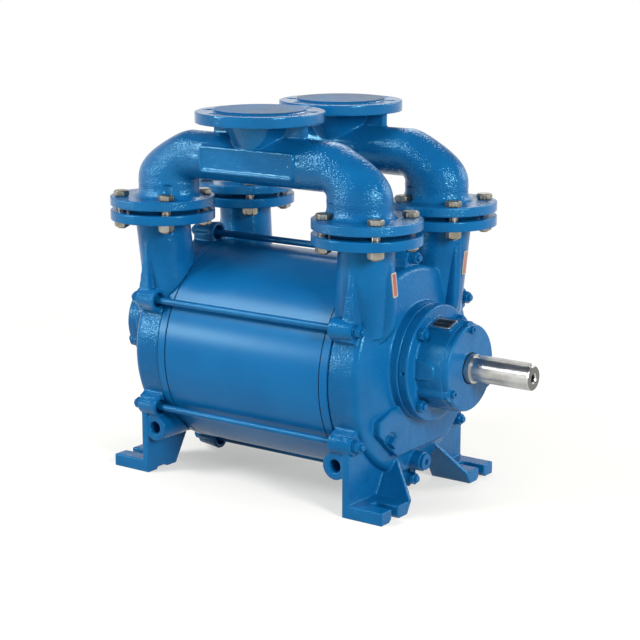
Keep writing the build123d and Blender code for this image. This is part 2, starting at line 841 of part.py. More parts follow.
def side_pad():
    """Bare raised pad with a framed border on the pipe's outer side."""
    face = pipe_radius + side_pad_proud
    pad = Pos(0, -face / 2, pipe_axis_z) * Box(side_pad_length, face, side_pad_height)
    pad = fillet(pad.edges().filter_by(Axis.Y), side_pad_corner)
    length = side_pad_length - 2 * side_pad_border
    sunk = Box(length, 2 * side_pad_sink, side_pad_height - 2 * side_pad_border)
    return pad - Pos(0, -face, pipe_axis_z) * sunk


def bend_bolt_cuts():
    """Bolt holes in the lower flange, with flat seats for the bolt heads."""
    cuts = []
    for x, y in flange_bolt_places(neck_x, 0):
        cuts.append(bar_z(flange_hole_radius, bend_flange_z - past, bend_flange_top_z + past, x, y))
        cuts.append(bar_z(spot_face_radius, bend_flange_top_z, bend_flange_top_z + spot_face_depth, x, y))
    return cuts


def top_bolt_holes():
    places = bolt_places(top_bolt_count, top_bolt_circle_radius, 0, 0, 180 / top_bolt_count)
    return [bar_z(top_hole_radius, top_flange_under_z - past, top_flange_z + past, x, y) for x, y in places]


def make_bend():
    """Whole overhead bend, its pad facing -Y, centred on y = 0."""
    half = bend_outside()
    bend = straight_pipe(0) + half + other_end(half) + top_branch() + side_pad()
    hollow = bend_inside()
    bend -= straight_pipe(pipe_wall) + hollow + other_end(hollow) + top_bore()
    cuts = bend_bolt_cuts()
    return bend - cuts - [other_end(cut) for cut in cuts] - top_bolt_holes()


def make_blanking_disc():
    """Thin blanking disc that lies on the top flange's raised face."""
    radius = top_face_radius - blanking_disc_inset
    return bar_z(radius, top_face_z, top_face_z + blanking_disc_thickness)


def neck_corners():
    return [(x, y) for x in (-neck_x, neck_x) for y in (-neck_y, neck_y)]


def make_flange_gaskets():
    ring = Circle(raised_face_radius - flange_gasket_inset) - Circle(neck_bore_radius)
    ring = Pos(0, 0, neck_face_z) * ring
    return [Pos(x, y, 0) * extrude(ring, flange_gasket_thickness) for x, y in neck_corners()]


def make_flange_bolt(x, y):
    """Hexagon bolt, head on top of the upper flange."""
    tail_z = neck_flange_z - flange_nut_height - flange_bolt_tail
    head = Plane(origin=(x, y, bend_flange_top_z)) * hexagon(flange_nut_across_flats)
    return extrude(head, flange_head_height) + bar_z(flange_bolt_radius, tail_z, bend_flange_top_z, x, y)


def make_flange_nut(x, y):
    start = Plane(origin=(x, y, neck_flange_z - flange_nut_height))
    nut = start * hexagon(flange_nut_across_flats, flange_bolt_radius + thread_gap)
    return extrude(nut, flange_nut_height)


def at_flange_bolts(make):
    places = [place for corner in neck_corners() for place in flange_bolt_places(*corner)]
    return [make(x, y) for x, y in places]


# Shaft, seals and bearings


def make_shaft():
    """Stepped shaft: free-end seat, seal runs, hub seat, drive-end seat, stub and keyed end."""
    free_end = -(bearing_end_x + lock_nut_width + shaft_tail)
    shaft = bar_x(shaft_hub_radius, -rotor_half_length, rotor_half_length, z=shaft_z)
    shaft += bar_x(shaft_seal_radius, -bearing_start_x, bearing_start_x, z=shaft_z)
    shaft += bar_x(bearing_bore_radius - fit_gap, -bearing_end_x, bearing_end_x, z=shaft_z)
    shaft += bar_x(shaft_stub_radius, free_end, shaft_stub_end_x, z=shaft_z)
    shaft += bar_x(shaft_end_radius, shaft_stub_end_x, shaft_tip_x, z=shaft_z)
    shaft = chamfer(end_rim(shaft), shaft_chamfer)
    shaft -= extrude(shaft_key_plan(0), key_depth + past)
    return shaft - impeller_key_box(0) - centre_hole()


def centre_hole():
    """Threaded hole in the shaft's end face, with a countersunk mouth."""
    mouth = centre_hole_radius + centre_hole_countersink
    cone = Pos(shaft_tip_x - mouth / 2, 0, shaft_z) * Rot(0, 90, 0) * Cone(0.5, mouth, mouth)
    return cone + bar_x(centre_hole_radius, shaft_tip_x - centre_hole_depth, shaft_tip_x + past, z=shaft_z)


def shaft_key_plan(play):
    """Round-ended key outline on the floor of its keyway."""
    length = shaft_end_length - 2 * key_end_margin
    place = Plane(origin=((shaft_stub_end_x + shaft_tip_x) / 2, 0, key_floor_z))
    return place * SlotOverall(length - play, key_width - play)


def make_shaft_key():
    return extrude(shaft_key_plan(key_play), key_depth + key_proud)


def make_shaft_sleeve():
    return tube_x(sleeve_radius, shaft_seal_radius + fit_gap, rotor_half_length, sleeve_end_x, z=shaft_z)


def make_seal_seat():
    """Fixed seal ring pressed against the land at the end of the seal chamber."""
    inner = sleeve_radius + seal_seat_gap
    return tube_x(seal_bore_radius - fit_gap, inner, seal_seat_x, seal_land_x, z=shaft_z)


def make_seal_ring():
    outer = seal_bore_radius - seal_ring_inset
    return tube_x(outer, sleeve_radius + fit_gap, seal_ring_start_x, seal_ring_end_x, z=shaft_z)


def make_seal_spring():
    """Closed coil spring that pushes the turning seal ring, drawn as a corrugated sleeve."""
    low = sleeve_radius + fit_gap
    start = seal_ring_start_x - seal_spring_length
    pitch = seal_spring_length / seal_spring_waves
    points = [(start, low)]
    for i in range(seal_spring_waves):
        wave_x = start + i * pitch
        points.append((wave_x + 0.15 * pitch, low + seal_spring_height / 2))
        points.append((wave_x + 0.5 * pitch, low + seal_spring_height))
        points.append((wave_x + 0.85 * pitch, low + seal_spring_height / 2))
    points.append((seal_ring_start_x, low))
    return Pos(0, 0, shaft_z) * spin_x(make_face(Polyline(*points, close=True)))


def ball_track():
    """Ring groove that the balls run in."""
    track = Torus(ball_circle_radius, ball_radius + ball_play)
    return Pos(bearing_middle_x, 0, shaft_z) * Rot(0, 90, 0) * track


def make_inner_race():
    outer = ball_circle_radius - race_gap
    return tube_x(outer, bearing_bore_radius, bearing_start_x, bearing_end_x, z=shaft_z) - ball_track()


def make_outer_race():
    outer = bearing_outer_radius - fit_gap
    inner = ball_circle_radius + race_gap
    return tube_x(outer, inner, bearing_start_x, bearing_end_x, z=shaft_z) - ball_track()


def make_ball_cage():
    """Balls with the cage that spaces them."""
    side = ball_radius + cage_side
    half = cage_thickness / 2
    cage = tube_x(ball_circle_radius + half, ball_circle_radius - half,
                  bearing_middle_x - side, bearing_middle_x + side, z=shaft_z)
    turns = [i * 360 / ball_count for i in range(ball_count)]
    places = [Pos(bearing_middle_x, y, z) for y, z in around(ball_circle_radius, turns, shaft_z)]
    cage -= [place * Sphere(ball_radius + ball_play) for place in places]
    return [cage] + [place * Sphere(ball_radius) for place in places]


def make_lock_nut():
    """Round nut with four spanner notches."""
    outer = shaft_stub_radius + lock_nut_step
    end = bearing_end_x + lock_nut_width
    nut = tube_x(outer, shaft_stub_radius + fit_gap, bearing_end_x, end, z=shaft_z)
    notch = Box(2 * lock_nut_width, lock_nut_notch, lock_nut_notch)
    notch = Pos(bearing_end_x, 0, outer) * notch
    return nut - [Pos(0, 0, shaft_z) * Rot(angle, 0, 0) * notch for angle in (45, 135, 225, 315)]


def make_flinger():
    """Disc on the shaft that throws drips clear of the bearing."""
    start = seat_end_x + flinger_setback
    return tube_x(flinger_radius, shaft_seal_radius + fit_gap, start, start + flinger_thickness, z=shaft_z)


def cap_screw_places(shift=0.0):
    return around(cap_screw_circle_radius + shift, cap_screw_angles, shaft_z)


def barrel_pad():
    """Round-ended flat pad along the barrel's front side."""
    half = barrel_pad_width / 2
    outline = Rectangle(barrel_pad_length - half, barrel_pad_width, align=(Align.MIN, Align.CENTER))
    outline += Pos(barrel_pad_length - half, 0) * Circle(half)
    start = facing_front(-bearing_outer_radius, housing_face_x - past, shaft_z + barrel_pad_rise)
    return extrude(start * outline, barrel_wall + barrel_pad_proud)


def plate_pad():
    """Flat on top of the barrel for a maker's plate."""
    length = housing_end_x - plate_pad_end_gap - housing_face_x
    height = barrel_wall + plate_pad_proud
    block = Box(length, height, plate_pad_width)
    block = Pos(housing_face_x + length / 2, bearing_outer_radius + height / 2, 0) * block
    return Pos(0, 0, shaft_z) * Rot(plate_pad_angle, 0, 0) * block


def vent_hole():
    """Small drip hole through the flange, facing the front."""
    middle = (seat_end_x + housing_face_x) / 2
    return bar_y(vent_radius, -housing_flange_radius - past, -housing_hollow_radius + past, middle, shaft_z)


def make_bearing_housing():
    """Flanged barrel bolted on the end cover, with a shoulder for the bearing."""
    flange = bar_x(housing_flange_radius, seat_end_x, housing_face_x, z=shaft_z)
    body = fillet(end_rim(flange), housing_flange_edge)
    body += bar_x(barrel_radius, seat_end_x, housing_end_x, z=shaft_z)
    body += [bar_x(barrel_lug_radius, housing_face_x - past, housing_end_x, y, z)
             for y, z in cap_screw_places(barrel_lug_shift)]
    body += [barrel_pad(), other_side(barrel_pad()), plate_pad()]
    shoulder = shaft_seal_radius + housing_shoulder_gap
    hollow_end = housing_face_x - past
    body -= [
        bar_x(bearing_outer_radius, bearing_start_x, housing_end_x + past, z=shaft_z),
        bar_x(shoulder, seat_end_x - past, bearing_start_x + past, z=shaft_z),
        bar_x(housing_hollow_radius, seat_end_x - past, hollow_end, z=shaft_z),
        vent_hole(),
    ]
    nut_room_end = housing_face_x + housing_nut_room
    for y, z in housing_stud_places():
        body -= bar_x(housing_stud_radius + rod_hole_gap, seat_end_x - past, housing_face_x + past, y, z)
        body -= bar_x(washer_radius + washer_seat_gap, housing_face_x, nut_room_end, y, z)
    screw_start = housing_end_x - cap_screw_depth - 2 * past
    screw_hole = cap_screw_radius + thread_gap
    return body - [bar_x(screw_hole, screw_start, housing_end_x + past, y, z) for y, z in cap_screw_places()]


def make_housing_studs():
    start = seat_end_x - housing_stud_depth + past
    end = housing_face_x + nut_height + housing_stud_tail
    return [bar_x(housing_stud_radius, start, end, y, z) for y, z in housing_stud_places()]


def make_housing_nuts():
    hole = housing_stud_radius + thread_gap
    end = housing_face_x + nut_height
    return [hex_x(nut_across_flats, hole, housing_face_x, end, y, z) for y, z in housing_stud_places()]


def bearing_cap():
    """Cap with a ring that enters the housing and holds the bearing; lugs carry the screws."""
    cap = fillet(end_rim(bar_x(cap_radius, housing_end_x, cap_end_x, z=shaft_z)), cap_edge)
    cap += [bar_x(cap_lug_radius, housing_end_x, cap_end_x - cap_lug_inset, y, z)
            for y, z in cap_screw_places(barrel_lug_shift)]
    ring_outer = bearing_outer_radius - 2 * fit_gap
    ring_inner = bearing_outer_radius - cap_ring_wall
    cap += tube_x(ring_outer, ring_inner, bearing_end_x, housing_end_x, z=shaft_z)
    hole = cap_screw_radius + rod_hole_gap
    return cap - [bar_x(hole, housing_end_x - past, cap_end_x + past, y, z) for y, z in cap_screw_places()]


def make_drive_bearing_cap():
    """Cap with the hole for the shaft and the seat of the lip seal."""
    hole = bar_x(shaft_stub_radius + cap_shaft_gap, housing_end_x - past, cap_end_x + past, z=shaft_z)
    seat_radius = shaft_stub_radius + lip_seal_height
    seat = bar_x(seat_radius, housing_end_x - past, housing_end_x + lip_seal_width, z=shaft_z)
    return bearing_cap() - hole - seat


def make_lip_seal():
    outer = shaft_stub_radius + lip_seal_height - fit_gap
    inner = shaft_stub_radius + fit_gap
    start = housing_end_x + lip_seal_gap
    return tube_x(outer, inner, start, housing_end_x + lip_seal_width, z=shaft_z)


def make_cap_screws():
    """Socket screws that hold the bearing cap."""
    head_end = cap_end_x + cap_screw_head_height
    screws = []
    for y, z in cap_screw_places():
        screw = bar_x(cap_screw_radius, housing_end_x - cap_screw_depth, cap_end_x, y, z)
        screw += bar_x(cap_screw_head_radius, cap_end_x, head_end, y, z)
        socket = facing_x(head_end - cap_screw_socket_depth, y, z) * hexagon(cap_screw_socket)
        screws.append(screw - extrude(socket, cap_screw_socket_depth))
    return screws


def both_ends(make):
    """Pieces at the drive end and their mirror images at the free end."""
    made = make()
    pieces = made if isinstance(made, list) else [made]
    return pieces + [other_end(piece) for piece in pieces]


def write_all():
    os.makedirs("parts", exist_ok=True)
    plate = make_port_plate()
    cover = make_end_cover()
    housing = make_bearing_housing()
    front_bend = Pos(0, -neck_y, 0) * make_bend()
    front_disc = Pos(0, -neck_y, 0) * make_blanking_disc()
    cage = make_ball_cage()
    save(make_casing(), "casing")
    save(both_ends(make_casing_gasket), "casing_gaskets")
    save(plate, "port_plate_drive_end")
    save(other_end(plate), "port_plate_free_end")
    save(both_ends(make_cover_gasket), "cover_gaskets")
    save(cover, "end_cover_drive_end")
    save(other_end(cover), "end_cover_free_end")
    save(both_ends(make_square_plug), "square_drain_plugs")
    save(both_ends(make_round_plug), "round_sump_plugs")
    save(make_tie_rods(), "tie_rods")
    save(both_ends(make_tie_rod_washers), "tie_rod_washers")
    save(both_ends(make_tie_rod_nuts), "tie_rod_nuts")
    save(front_bend, "front_manifold")
    save(other_side(front_bend), "rear_manifold")
    save(front_disc, "front_blanking_disc")
    save(other_side(front_disc), "rear_blanking_disc")
    save(make_flange_gaskets(), "flange_gaskets")
    save(at_flange_bolts(make_flange_bolt), "flange_bolts")
    save(at_flange_bolts(make_flange_nut), "flange_nuts")
    save(make_shaft(), "shaft")
    save(make_shaft_key(), "shaft_key")
    save(make_impeller(), "impeller")
    save(impeller_key_box(key_play), "impeller_key")
    save(both_ends(make_shaft_sleeve), "shaft_sleeves")
    save(both_ends(make_seal_seat), "seal_seats")
    save(both_ends(make_seal_ring), "seal_rings")
    save(both_ends(make_seal_spring), "seal_springs")
    save(both_ends(make_inner_race), "bearing_inner_races")
    save(both_ends(make_outer_race), "bearing_outer_races")
    save(cage, "ball_cage_drive_end")
    save([other_end(piece) for piece in cage], "ball_cage_free_end")
    save(both_ends(make_lock_nut), "bearing_lock_nuts")
    save(both_ends(make_flinger), "flingers")
    save(housing, "bearing_housing_drive_end")
    save(other_end(housing), "bearing_housing_free_end")
    save(both_ends(make_housing_studs), "housing_studs")
    save(both_ends(make_housing_nuts), "housing_nuts")
    save(make_drive_bearing_cap(), "bearing_cap_drive_end")
    save(other_end(bearing_cap()), "bearing_cap_free_end")
    save(make_lip_seal(), "shaft_lip_seal")
    save(both_ends(make_cap_screws), "bearing_cap_screws")


write_all()
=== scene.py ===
import json
import math

import bmesh
import bpy
import numpy as np
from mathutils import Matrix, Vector

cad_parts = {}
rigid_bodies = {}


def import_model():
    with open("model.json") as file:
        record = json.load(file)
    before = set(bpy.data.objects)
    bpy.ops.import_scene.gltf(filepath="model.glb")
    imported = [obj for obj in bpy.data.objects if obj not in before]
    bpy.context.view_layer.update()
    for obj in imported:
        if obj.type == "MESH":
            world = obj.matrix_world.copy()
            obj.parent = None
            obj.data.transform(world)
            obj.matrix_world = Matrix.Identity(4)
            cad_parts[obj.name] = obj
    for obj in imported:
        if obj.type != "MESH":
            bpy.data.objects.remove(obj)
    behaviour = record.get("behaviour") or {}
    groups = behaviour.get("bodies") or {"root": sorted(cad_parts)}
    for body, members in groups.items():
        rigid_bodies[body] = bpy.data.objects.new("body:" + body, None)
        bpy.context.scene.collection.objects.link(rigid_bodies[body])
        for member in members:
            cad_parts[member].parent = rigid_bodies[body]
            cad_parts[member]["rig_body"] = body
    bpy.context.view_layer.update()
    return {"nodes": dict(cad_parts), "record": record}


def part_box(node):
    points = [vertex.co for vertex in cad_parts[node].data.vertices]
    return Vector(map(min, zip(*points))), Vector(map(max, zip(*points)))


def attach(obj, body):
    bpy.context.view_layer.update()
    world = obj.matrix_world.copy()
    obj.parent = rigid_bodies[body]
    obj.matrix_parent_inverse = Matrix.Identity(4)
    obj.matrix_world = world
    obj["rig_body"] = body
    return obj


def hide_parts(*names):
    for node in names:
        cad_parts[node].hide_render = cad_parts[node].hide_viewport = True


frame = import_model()

# Looks of the liquid ring vacuum pump, in metres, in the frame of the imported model. The shaft
# runs along X with its drive end at +X, the front manifold is at -Y and the feet stand on z = 0.

nodes = frame["nodes"]
slot_of_node = {entry["node"]: entry["material_slot"] for entry in frame["record"]["subparts"]}

# Paint and metal colours, linear
BLUE = (0.004, 0.126, 0.336)
BLUE_DEEP = (0.003, 0.114, 0.312)
BLUE_CAST = (0.004, 0.118, 0.314)
BLUE_CAST_DEEP = (0.002, 0.088, 0.252)
ENAMEL_SHEEN = (0.25, 0.72, 0.9)
ZINC = (0.39, 0.375, 0.335)
ZINC_WARM = (0.26, 0.24, 0.18)
SHAFT_STEEL = (0.52, 0.515, 0.495)
SHAFT_STEEL_DEEP = (0.40, 0.395, 0.38)
SHAFT_FACE = (0.17, 0.17, 0.165)
BLACK = (0.012, 0.012, 0.014)
PALE_DISC = (0.038, 0.092, 0.175)


# Shader node groups


def new_group(name, inputs, outputs):
    """Empty node group with float, vector or colour sockets."""
    group = bpy.data.node_groups.new(name, "ShaderNodeTree")
    for label, kind, value in inputs:
        socket = group.interface.new_socket(label, in_out="INPUT", socket_type=kind)
        if value is not None:
            socket.default_value = value
    for label, kind in outputs:
        group.interface.new_socket(label, in_out="OUTPUT", socket_type=kind)
    return group, group.nodes.new("NodeGroupInput"), group.nodes.new("NodeGroupOutput")


def scaled(group, vector, scale_socket):
    """The vector times the scale socket."""
    times = group.nodes.new("ShaderNodeVectorMath")
    times.operation = "SCALE"
    group.links.new(vector, times.inputs[0])
    group.links.new(scale_socket, times.inputs["Scale"])
    return times.outputs[0]


def length_of(group, vector):
    """Length of the vector."""
    measure = group.nodes.new("ShaderNodeVectorMath")
    measure.operation = "LENGTH"
    group.links.new(vector, measure.inputs[0])
    return measure.outputs["Value"]


def part_of(group, vector, axis):
    """The vector's X, Y or Z."""
    split = group.nodes.new("ShaderNodeSeparateXYZ")
    group.links.new(vector, split.inputs[0])
    return split.outputs[axis]


def noise(group, vector, scale, detail, roughness=0.5):
    """Smooth noise between 0 and 1, with the scale in waves to the metre."""
    node = group.nodes.new("ShaderNodeTexNoise")
    node.inputs["Scale"].default_value = scale
    node.inputs["Detail"].default_value = detail
    node.inputs["Roughness"].default_value = roughness
    group.links.new(vector, node.inputs["Vector"])
    return node.outputs["Fac"]


def arithmetic(group, operation, one, other):
    """Math node on sockets or numbers."""
    node = group.nodes.new("ShaderNodeMath")
    node.operation = operation
    for slot, value in ((0, one), (1, other)):
        if isinstance(value, (int, float)):
            node.inputs[slot].default_value = value
        else:
            group.links.new(value, node.inputs[slot])
    return node.outputs[0]


def spread(group, value, low, high, to_low=0.0, to_high=1.0):
    """Map the value from low..high to to_low..to_high, clamped and smooth."""
    node = group.nodes.new("ShaderNodeMapRange")
    node.interpolation_type = "SMOOTHSTEP"
    group.links.new(value, node.inputs["Value"])
    limits = (("From Min", low), ("From Max", high), ("To Min", to_low), ("To Max", to_high))
    for label, number in limits:
        node.inputs[label].default_value = number
    return node.outputs["Result"]


def mix_colour(group, share, one, other):
    """Blend from one colour to the other, each given as numbers or as a socket."""
    node = group.nodes.new("ShaderNodeMix")
    node.data_type = "RGBA"
    group.links.new(share, node.inputs["Factor"])
    for label, value in (("A", one), ("B", other)):
        socket = [s for s in node.inputs if s.name == label and s.type == "RGBA"][0]
        if isinstance(value, tuple):
            socket.default_value = (*value, 1)
        else:
            group.links.new(value, socket)
    return [s for s in node.outputs if s.type == "RGBA"][0]


def make_cast_grain():
    """Sand-cast skin under paint: fine grain, soft lumps and round pits, which come only where
    a slow noise is high."""
    grain_scale, lump_scale, pit_scale, patch_scale = 340, 38, 130, 19
    pit_middle, pit_rim = 0.05, 0.22
    patch_low, patch_high = 0.56, 0.66
    group, start, end = new_group(
        "cast_grain",
        [("Vector", "NodeSocketVector", None), ("Grain", "NodeSocketFloat", 1.0),
         ("Lumps", "NodeSocketFloat", 1.0), ("Pits", "NodeSocketFloat", 1.0)],
        [("Height", "NodeSocketFloat")])
    place = start.outputs["Vector"]
    fine = noise(group, place, grain_scale, 1, 0.4)
    grain = arithmetic(group, "MULTIPLY", fine, start.outputs["Grain"])
    soft = noise(group, place, lump_scale, 3)
    lumps = arithmetic(group, "MULTIPLY", soft, start.outputs["Lumps"])
    cells = group.nodes.new("ShaderNodeTexVoronoi")
    cells.inputs["Scale"].default_value = pit_scale
    group.links.new(place, cells.inputs["Vector"])
    hollow = spread(group, cells.outputs["Distance"], pit_middle, pit_rim, -1.0, 0.0)
    rare = spread(group, noise(group, place, patch_scale, 1), patch_low, patch_high)
    pitted = arithmetic(group, "MULTIPLY", hollow, rare)
    pits = arithmetic(group, "MULTIPLY", pitted, start.outputs["Pits"])
    total = arithmetic(group, "ADD", arithmetic(group, "ADD", grain, lumps), pits)
    group.links.new(total, end.inputs["Height"])
    return group


def make_paint_tone():
    """Uneven coat of paint: cloudy tone between two colours, and a gloss that varies."""
    cloud_low, cloud_high = 0.38, 0.66
    gloss_scale = 55
    group, start, end = new_group(
        "paint_tone",
        [("Vector", "NodeSocketVector", None), ("Colour", "NodeSocketColor", None),
         ("Deep", "NodeSocketColor", None), ("Clouds", "NodeSocketFloat", 9.0),
         ("Gloss Low", "NodeSocketFloat", 0.25), ("Gloss High", "NodeSocketFloat", 0.38)],
        [("Colour", "NodeSocketColor"), ("Roughness", "NodeSocketFloat")])
    place = scaled(group, start.outputs["Vector"], start.outputs["Clouds"])
    share = spread(group, noise(group, place, 1.0, 5, 0.55), cloud_low, cloud_high)
    colour = mix_colour(group, share, start.outputs["Colour"], start.outputs["Deep"])
    group.links.new(colour, end.inputs["Colour"])
    fine = noise(group, start.outputs["Vector"], gloss_scale, 3)
    low, high = start.outputs["Gloss Low"], start.outputs["Gloss High"]
    rise = arithmetic(group, "MULTIPLY", arithmetic(group, "SUBTRACT", high, low), fine)
    group.links.new(arithmetic(group, "ADD", low, rise), end.inputs["Roughness"])
    return group


def make_turned_lines():
    """Fine rings left by a lathe around the X axis: noise of x alone, in waves to the metre."""
    group, start, end = new_group(
        "turned_lines",
        [("Vector", "NodeSocketVector", None), ("Waves", "NodeSocketFloat", 900.0)],
        [("Height", "NodeSocketFloat")])
    x = part_of(group, start.outputs["Vector"], "X")
    along = arithmetic(group, "MULTIPLY", x, start.outputs["Waves"])
    rings = group.nodes.new("ShaderNodeTexNoise")
    rings.noise_dimensions = "1D"
    rings.inputs["Detail"].default_value = 4
    group.links.new(along, rings.inputs["W"])
    group.links.new(rings.outputs["Fac"], end.inputs["Height"])
    return group


cast_grain = make_cast_grain()
paint_tone = make_paint_tone()
turned_lines = make_turned_lines()


# Materials

PAINT_BUMP = 0.7
METAL_BUMP = 0.12
METAL_CLOUDS = 40.0
CALM_GRAIN = 0.22
FACE_DEPTH = 0.0004


def new_material(name, **sockets):
    """Material with one Principled BSDF; returns it with its node tree and object coordinates."""
    material = bpy.data.materials.new(name)
    material.use_nodes = True
    tree = material.node_tree
    shader = tree.nodes["Principled BSDF"]
    for label, value in sockets.items():
        shader.inputs[label.replace("_", " ")].default_value = value
    where = tree.nodes.new("ShaderNodeTexCoord").outputs["Object"]
    return material, tree, shader, where


def use_group(tree, group, where, **values):
    """The group placed in a material, with its own values."""
    node = tree.nodes.new("ShaderNodeGroup")
    node.node_tree = group
    tree.links.new(where, node.inputs["Vector"])
    for label, value in values.items():
        socket = node.inputs[label.replace("_", " ")]
        socket.default_value = (*value, 1) if isinstance(value, tuple) else value
    return node


def bump(tree, shader, height, strength, distance):
    """Relief of the given height under the shader."""
    node = tree.nodes.new("ShaderNodeBump")
    node.inputs["Strength"].default_value = strength
    node.inputs["Distance"].default_value = distance
    tree.links.new(height, node.inputs["Height"])
    tree.links.new(node.outputs["Normal"], shader.inputs["Normal"])


def painted(name, colour, deep, grain, lumps, gloss, depth, pits=0.0, shine=0.24,
            tint=ENAMEL_SHEEN, calm_middle=None):
    """Enamel over smooth or sand-cast metal, or a dull printed or moulded skin. Shine and tint
    are the strength and colour of its reflections. calm_middle gives the two distances from the
    middle of the pump between which a weaker grain grows to its full strength."""
    material, tree, shader, where = new_material(
        name, Specular_IOR_Level=shine, Specular_Tint=(*tint, 1))
    tone = use_group(tree, paint_tone, where, Colour=colour, Deep=deep,
                     Gloss_Low=gloss[0], Gloss_High=gloss[1])
    skin = use_group(tree, cast_grain, where, Grain=grain, Lumps=lumps, Pits=pits)
    if calm_middle:
        off_middle = arithmetic(tree, "ABSOLUTE", part_of(tree, where, "X"), 0.0)
        grown = spread(tree, off_middle, *calm_middle, CALM_GRAIN * grain, grain)
        tree.links.new(grown, skin.inputs["Grain"])
    tree.links.new(tone.outputs["Colour"], shader.inputs["Base Color"])
    tree.links.new(tone.outputs["Roughness"], shader.inputs["Roughness"])
    bump(tree, shader, skin.outputs["Height"], PAINT_BUMP, depth)
    return material


def bare_metal(name, colour, deep, gloss, waves, depth, end_face=None):
    """Machined metal: rings from the lathe and a cloudy tone; end_face is the colour of the
    rougher cut beyond the given x."""
    material, tree, shader, where = new_material(name, Metallic=1.0)
    tone = use_group(tree, paint_tone, where, Colour=colour, Deep=deep, Clouds=METAL_CLOUDS,
                     Gloss_Low=gloss[0], Gloss_High=gloss[1])
    lines = use_group(tree, turned_lines, where, Waves=waves)
    skin = tone.outputs["Colour"]
    if end_face:
        face_colour, face_x = end_face
        share = spread(tree, part_of(tree, where, "X"), face_x - FACE_DEPTH, face_x)
        skin = mix_colour(tree, share, skin, face_colour)
    tree.links.new(skin, shader.inputs["Base Color"])
    tree.links.new(tone.outputs["Roughness"], shader.inputs["Roughness"])
    bump(tree, shader, lines.outputs["Height"], METAL_BUMP, depth)
    return material


enamel_smooth = painted(
    "blue_enamel", BLUE, BLUE_DEEP, grain=0.05, lumps=0.14, gloss=(0.25, 0.28), depth=0.00025,
    tint=(0.4, 0.75, 0.85))
enamel_cast = painted(
    "blue_enamel_on_bends", BLUE_CAST, BLUE_CAST_DEEP, grain=1.35, lumps=1.5, pits=0.5,
    gloss=(0.11, 0.19), depth=0.0012, shine=0.5, tint=(0.3, 0.8, 1.0),
    calm_middle=(0.092, 0.125))
enamel_cover = painted(
    "blue_enamel_on_covers", BLUE_CAST, BLUE_CAST_DEEP, grain=0.65, lumps=1.5, pits=0.5,
    gloss=(0.15, 0.24), depth=0.0012, shine=0.34)
enamel_machined = painted(
    "blue_enamel_on_fasteners", BLUE_CAST, BLUE_CAST_DEEP, grain=0.2, lumps=0.6,
    gloss=(0.18, 0.28), depth=0.0003)
pale_enamel = painted(
    "pale_enamel_on_discs", PALE_DISC, BLUE_CAST, grain=0.1, lumps=0.4, gloss=(0.35, 0.5),
    depth=0.0002, shine=0.12)
zinc_plate = bare_metal(
    "zinc_plate", ZINC, ZINC_WARM, gloss=(0.26, 0.42), waves=300.0, depth=0.00005)
ground_steel = bare_metal(
    "ground_shaft_steel", SHAFT_STEEL, SHAFT_STEEL_DEEP, gloss=(0.28, 0.34), waves=1500.0,
    depth=0.000003, end_face=(SHAFT_FACE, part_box("shaft")[1][0] - 0.0001))
dark_steel = bare_metal(
    "oiled_dark_steel", (0.16, 0.16, 0.17), (0.07, 0.07, 0.075), gloss=(0.3, 0.5), waves=900.0,
    depth=0.00003)
rotor_bronze = bare_metal(
    "cast_bronze", (0.50, 0.29, 0.12), (0.36, 0.2, 0.08), gloss=(0.35, 0.5), waves=200.0,
    depth=0.00006)
black_fibre = painted(
    "black_gasket_fibre", BLACK, (0.02, 0.02, 0.022), grain=0.5, lumps=0.4, gloss=(0.6, 0.8),
    depth=0.0003)
black_rubber = painted(
    "black_seal_rubber", BLACK, (0.018, 0.018, 0.02), grain=0.2, lumps=0.3, gloss=(0.5, 0.65),
    depth=0.0002)
plate_metal = bare_metal(
    "plate_aluminium", (0.55, 0.55, 0.53), (0.42, 0.42, 0.41), gloss=(0.3, 0.42), waves=600.0,
    depth=0.00002)
plate_black = painted(
    "black_plate_enamel", (0.02, 0.022, 0.024), BLACK, grain=0.1, lumps=0.2, gloss=(0.3, 0.45),
    depth=0.0001)
label_paper = painted(
    "pale_label_paper", (0.42, 0.43, 0.40), (0.34, 0.35, 0.33), grain=0.1, lumps=0.3,
    gloss=(0.45, 0.6), depth=0.0001)
label_red = painted(
    "red_label_ink", (0.34, 0.06, 0.05), (0.42, 0.19, 0.15), grain=0.1, lumps=0.3,
    gloss=(0.45, 0.6), depth=0.0001)

finish_of_slot = {
    "blue_paint": enamel_smooth,
    "cast_blue_paint": enamel_cover,
    "zinc_fastener": zinc_plate,
    "bright_steel": ground_steel,
    "black_steel": dark_steel,
    "black_rubber": black_rubber,
    "gasket_fibre": black_fibre,
    "bronze": rotor_bronze,
    "pale_blanking": pale_enamel,
    "seal_carbon": black_fibre,
}
painted_fasteners = {
    "tie_rods", "tie_rod_washers", "tie_rod_nuts", "housing_studs", "housing_nuts",
    "bearing_cap_screws", "square_drain_plugs", "round_sump_plugs",
}


def dress_nodes():
    """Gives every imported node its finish."""
    for name, piece in nodes.items():
        finish = finish_of_slot[slot_of_node[name]]
        piece.data.materials.clear()
        piece.data.materials.append(enamel_machined if name in painted_fasteners else finish)


# Meshes

SHARP_DEGREES = 35
WELD = 1e-6


def add_piece(name, points, faces, finish, slot, replaced=()):
    """Smooth-shaded mesh object at the origin that rides on the pump's fixed body."""
    mesh = bpy.data.meshes.new(name)
    mesh.from_pydata(points.tolist(), [], faces)
    mesh.validate()
    mesh.polygons.foreach_set("use_smooth", [True] * len(mesh.polygons))
    piece = bpy.data.objects.new(name, mesh)
    bpy.context.scene.collection.objects.link(piece)
    mesh.materials.append(finish)
    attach(piece, "root")
    if replaced:
        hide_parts(*replaced)
    return piece


